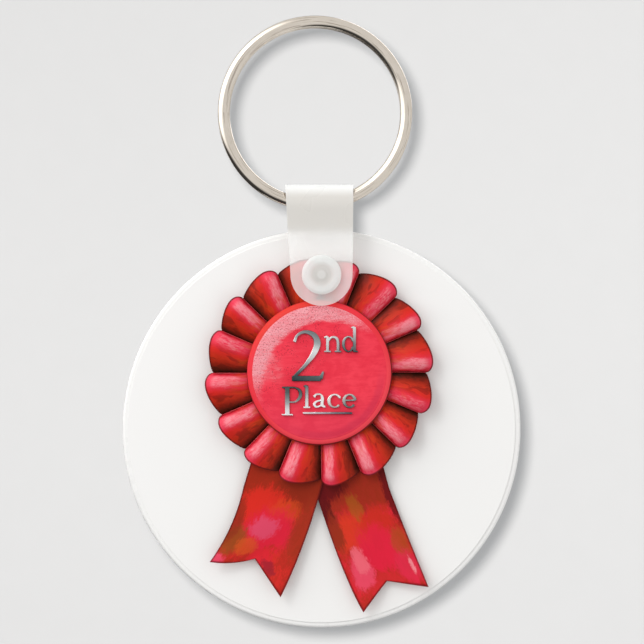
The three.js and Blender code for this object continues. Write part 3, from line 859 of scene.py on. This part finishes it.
def makeButton():
    look = buttonLook
    low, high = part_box("button_cover")
    outer = (high.x - low.x) / 2
    front = low.y - look["crown"] * mm
    inside = outer - look["cover"] * mm
    crown = [(0, front), (5.5 * mm, front + 0.01 * mm), (7.4 * mm, front + 0.06 * mm),
             (8.6 * mm, front + 0.15 * mm), (9.3 * mm, front + 0.27 * mm),
             (outer - 0.02 * mm, front + 0.34 * mm)]
    skirt = [(outer, front + 0.36 * mm), (outer, high.y)]
    hollow = [(inside, high.y), (inside, low.y + 0.9 * mm), (outer - 0.7 * mm, low.y + 0.5 * mm),
              (outer - 1.6 * mm, low.y + 0.24 * mm), (0, low.y + 0.145 * mm)]
    profile = fillet(crown, 0.5 * mm, 5) + skirt + fillet(hollow, 0.2 * mm, 3)
    bm = turned(profile, buttonMiddle, look["sides"])
    made = piece(bm, "button_satin", "tag", buttonSatin(), ["button_cover"])
    smoothByAngle(made, 50)
    low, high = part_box("button_rim")
    outer = (high.x - low.x) / 2
    inside = outer - look["rimWidth"] * mm  # pressed against the cover
    roll = [(inside, high.y), (inside, low.y + 0.03 * mm), (inside + 0.04 * mm, low.y),
            (inside + 0.40 * mm, low.y + 0.12 * mm), (outer - 0.06 * mm, low.y + 0.46 * mm),
            (outer, low.y + 0.75 * mm), (outer - 0.04 * mm, high.y), (inside, high.y)]
    bm = turned(fillet(roll, 0.14 * mm, 4), buttonMiddle, look["sides"])
    made = piece(bm, "button_rolled_edge", "tag", rimSatin(), ["button_rim"])
    smoothByAngle(made, 60)
    print("button: cover and rolled edge")


# lettering: polished silver, each character with its own run of light
silverRuns = {  # start and end of the run from the button's middle, and the greys along it
    "numeral_2": ((-2.4, -1.3), (-0.2, 5.4),
                  ["39484a", "586567", "9aa0a2", "d6d8d8", "f4f6f5", "aeb3b5", "84898c"]),
    "letter_n": ((0.6, 5.3), (2.9, 2.9), ["ffffff", "e6e7e7", "c2c4c5", "8f9394"]),
    "letter_d": ((4.6, 6.6), (4.9, 2.9), ["f2f3f3", "c4c7c7", "868c8d", "4e5759"]),
    "letter_P": ((-4.4, -1.9), (-4.6, -6.1),
                 ["55605f", "5f6b6a", "86908f", "b9bdbd", "eeeeee", "ffffff"]),
    "letter_l": ((-1.8, -1.7), (-1.8, -5.0), ["6e7475", "a9adae", "e4e4e4", "ffffff"]),
    "letter_a": ((-0.4, -2.9), (0.2, -5.0), ["f4f4f3", "ffffff", "ffffff"]),
    "letter_c": ((2.2, -2.9), (2.2, -5.0), ["ffffff", "f3efea", "b5aca8"]),
    "letter_e": ((3.8, -2.9), (4.8, -5.0), ["d8d6d2", "b5b8b6", "7d8585", "6a7070"]),
    "underline_bar": ((-2.3, -5.7), (4.6, -5.7), ["fbeef0", "cfc6cc", "8f8a92", "5e5b66"]),
}


def makeLetters():
    for node, (start, end, greys) in silverRuns.items():
        net = finish("silver " + node)
        here = net.place(rosetteMiddle)
        run = Vector((end[0] - start[0], 0, end[1] - start[1])) * mm
        moved = net.vector("SUBTRACT", here, tuple(Vector((start[0], 0, start[1])) * mm))
        along = net.vector("DOT_PRODUCT", moved, tuple(run / run.length_squared), out="Value")
        wearAndReflectionNoise = net.noise(here, 900, 4, 0.6)
        stops = [(k / (len(greys) - 1), grey) for k, grey in enumerate(greys)]
        # painted reflection: greys laid along each character's run, broken up by the wear noise
        tint = net.ramp(along + wearAndReflectionNoise * 0.12 - 0.06, stops)
        dress(node, net.set(Base_Color=tint, Metallic=1.0, Roughness=wearAndReflectionNoise * 0.12 + 0.16,
                            Normal=net.bump(wearAndReflectionNoise, 0.004 * mm, 0.4)))
    print("letters: silver")


# backing: foam pad, card, staples, thread and the button's tin parts
backingLook = {  # two tints, grain, roughness, bump, metal
    "card": ("ddd5c4", "efe9dc", 1400, 0.75, 0.02, 0.0),
    "staple wire": ("a9a9a9", "cfcfcf", 2200, 0.25, 0.006, 1.0),
    "tin plate": ("a8a8a6", "c8c8c6", 900, 0.32, 0.008, 1.0),
    "foam": ("c9c9c4", "e4e4df", 2600, 0.85, 0.05, 0.0),
    "thread": ("8c1826", "b8283a", 5200, 0.75, 0.03, 0.0),
}


def matt(name):
    low, high, grain, rough, bump, metal = backingLook[name]
    net = finish(name)
    fibre = net.noise(net.place(rosetteMiddle), grain, 5, 0.65)
    return net.set(Base_Color=net.mix(fibre, low, high), Roughness=fibre * 0.15 + rough,
                   Metallic=metal, Normal=net.bump(fibre, bump * mm, 0.7))


def makeBacking():
    card, wire, plate = matt("card"), matt("staple wire"), matt("tin plate")
    for node, material in (("back_card", card), ("staple_left", wire), ("staple_right", wire),
                           ("button_back", plate), ("button_shell", plate)):
        dress(node, material)
    low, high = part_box("adhesive_pad")
    radius = (high.x - low.x) / 2
    side = [(0, low.y), (radius, low.y), (radius - 0.06 * mm, (low.y + high.y) / 2),
            (radius, high.y), (0, high.y)]
    bm = turned(fillet(side, 0.05 * mm, 3), middle("adhesive_pad"), 96)
    pad = piece(bm, "foam_pad", "tag", matt("foam"), ["adhesive_pad"])
    low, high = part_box("gathering_thread")
    half = (high.y - low.y) / 2
    run = (high.x - low.x) / 2 - half
    bm = bmesh.new()
    bmesh.ops.create_circle(bm, cap_ends=False, segments=12, radius=half)
    for vert in bm.verts:
        vert.co = (rosetteMiddle.x + run + vert.co.x, (low.y + high.y) / 2 + vert.co.y,
                   rosetteMiddle.z)
    fullSpin(bm, rosetteMiddle, (0, 1, 0), 160, 1e-7)
    for vert in bm.verts:  # running stitches rise and dip
        around = math.atan2(vert.co.z - rosetteMiddle.z, vert.co.x - rosetteMiddle.x)
        vert.co.y += math.sin(around * 32) * 0.04 * mm
    piece(bm, "running_thread", "tag", matt("thread"), ["gathering_thread"])
    print("backing: pad, card, staples and thread")


# stage: a pale paper bowl, the air around the object, four lamps and the camera, in metres
stageLook = {
    "floor": -0.85, "wall": 1.1, "wallHeight": 1.5, "curve": 0.35,
    "paper": "acadae", "paperFibre": "b0b1b2",
    "air": 0.78, "glow": 1.25, "glowFrom": (-0.76, -0.47, 0.44),
    "dusk": 0.73, "duskFrom": (-0.57, -0.10, -0.82), "behind": 0.18,
}
lampLook = {
    "aim": (0, 0, -0.045), "key": 0.9, "keyPlace": (-0.40, -0.55, 0.45), "keySize": 0.22,
    "rear": 1.8, "rearPlace": (0.35, 0.65, 0.35), "rearSize": 0.60,
    "backdrop": 19.5, "backdropSize": 0.0028, "backdropAside": (-0.0016, 0.0016),
    "backdropTint": "fffbf7", "wall": 12, "wallPlace": (0, 0.3, 0.3), "wallSize": 0.5,
}
cameraLook = {"frameWidth": 0.0922, "lens": 120, "sensor": 36, "centreX": 0.001, "centreZ": -0.0419}


def makeStage():
    look = stageLook
    net = finish("studio paper")
    fibre = net.noise(net.place(), 60, 3)
    paper = net.set(Base_Color=net.mix(fibre * 0.5, look["paper"], look["paperFibre"]),
                    Roughness=0.9)
    corners = [(0, look["floor"]), (look["wall"], look["floor"]),
               (look["wall"], look["floor"] + look["wallHeight"])]
    bm = bmesh.new()
    chain(bm, [(r, 0, z) for r, z in fillet(corners, look["curve"], 12)])
    fullSpin(bm, (0, 0, 0), (0, 0, 1), 96)
    bmesh.ops.reverse_faces(bm, faces=bm.faces)
    bowl = asObject(bm, "studio_bowl")
    bowl.data.materials.append(paper)
    for face in bowl.data.polygons:
        face.use_smooth = True
    # the air lights the object instead of the bowl
    bowl.visible_diffuse = bowl.visible_glossy = bowl.visible_shadow = False
    return bowl


def addLight(name, place, size, power, shade="ffffff"):
    light = bpy.data.lights.new(name, "AREA")
    light.shape = "DISK"
    light.size = size
    light.energy = power
    light.color = tone(shade)
    made = bpy.data.objects.new(name, light)
    made.location = place
    aim = Vector(lampLook["aim"]) - Vector(place)
    made.rotation_euler = aim.to_track_quat("-Z", "Y").to_euler()
    sceneObjects.link(made)
    return made


def makeLights(eye, bowl):
    look = lampLook
    addLight("key", look["keyPlace"], look["keySize"], look["key"])
    addLight("rear", look["rearPlace"], look["rearSize"], look["rear"])
    aside, up = look["backdropAside"]
    shadowLamp = addLight("backdrop lamp", (eye.x + aside, eye.y, eye.z + up),
                          look["backdropSize"], look["backdrop"], look["backdropTint"])
    wallLamp = addLight("rear wall lamp", look["wallPlace"], look["wallSize"], look["wall"])
    backdropOnly = bpy.data.collections.new("backdrop only")
    backdropOnly.objects.link(bowl)
    for lamp, turn in ((shadowLamp, math.pi / 2), (wallLamp, -math.pi / 2)):
        lamp.rotation_euler = (turn, 0, 0)
        lamp.light_linking.receiver_collection = backdropOnly  # leaves the object alone


def makeAir():
    look = stageLook
    world = bpy.data.worlds.new("studio air")
    bpy.context.scene.world = world
    net = Net(world, "Background")
    toward = net.node("ShaderNodeTexCoord", out="Generated")
    high = net.vector("DOT_PRODUCT", toward, look["glowFrom"], out="Value")
    low = net.vector("DOT_PRODUCT", toward, look["duskFrom"], out="Value")
    back = net.step(net.parts(toward)[1], 0.05, 0.75)
    strength = net.step(high, 0.70, 0.92) * look["glow"] + look["air"]
    strength = strength - net.step(low, 0.55, 0.80) * look["dusk"] - back * look["behind"]
    net.set(Color="ffffff", Strength=strength)
    print("stage: paper, lamps and air")


def makeCamera():
    look = cameraLook
    camera = bpy.data.cameras.new("camera")
    camera.lens = look["lens"]
    camera.sensor_width = look["sensor"]
    camera.clip_start = 0.01
    distance = look["frameWidth"] * look["lens"] / look["sensor"]
    made = bpy.data.objects.new("camera", camera)
    made.location = (look["centreX"], -distance, look["centreZ"])
    made.rotation_euler = (math.pi / 2, 0, 0)
    sceneObjects.link(made)
    bpy.context.scene.camera = made
    bpy.context.scene.view_settings.view_transform = "Standard"
    return made


camera = makeCamera()
makeLights(camera.location, makeStage())
makeAir()
makeRing()
makeStrap()
makeSnap()
makeTag()
makePleats()
for side in tailCut:
    makeTail(side)
makeButton()
makeLetters()
makeBacking()
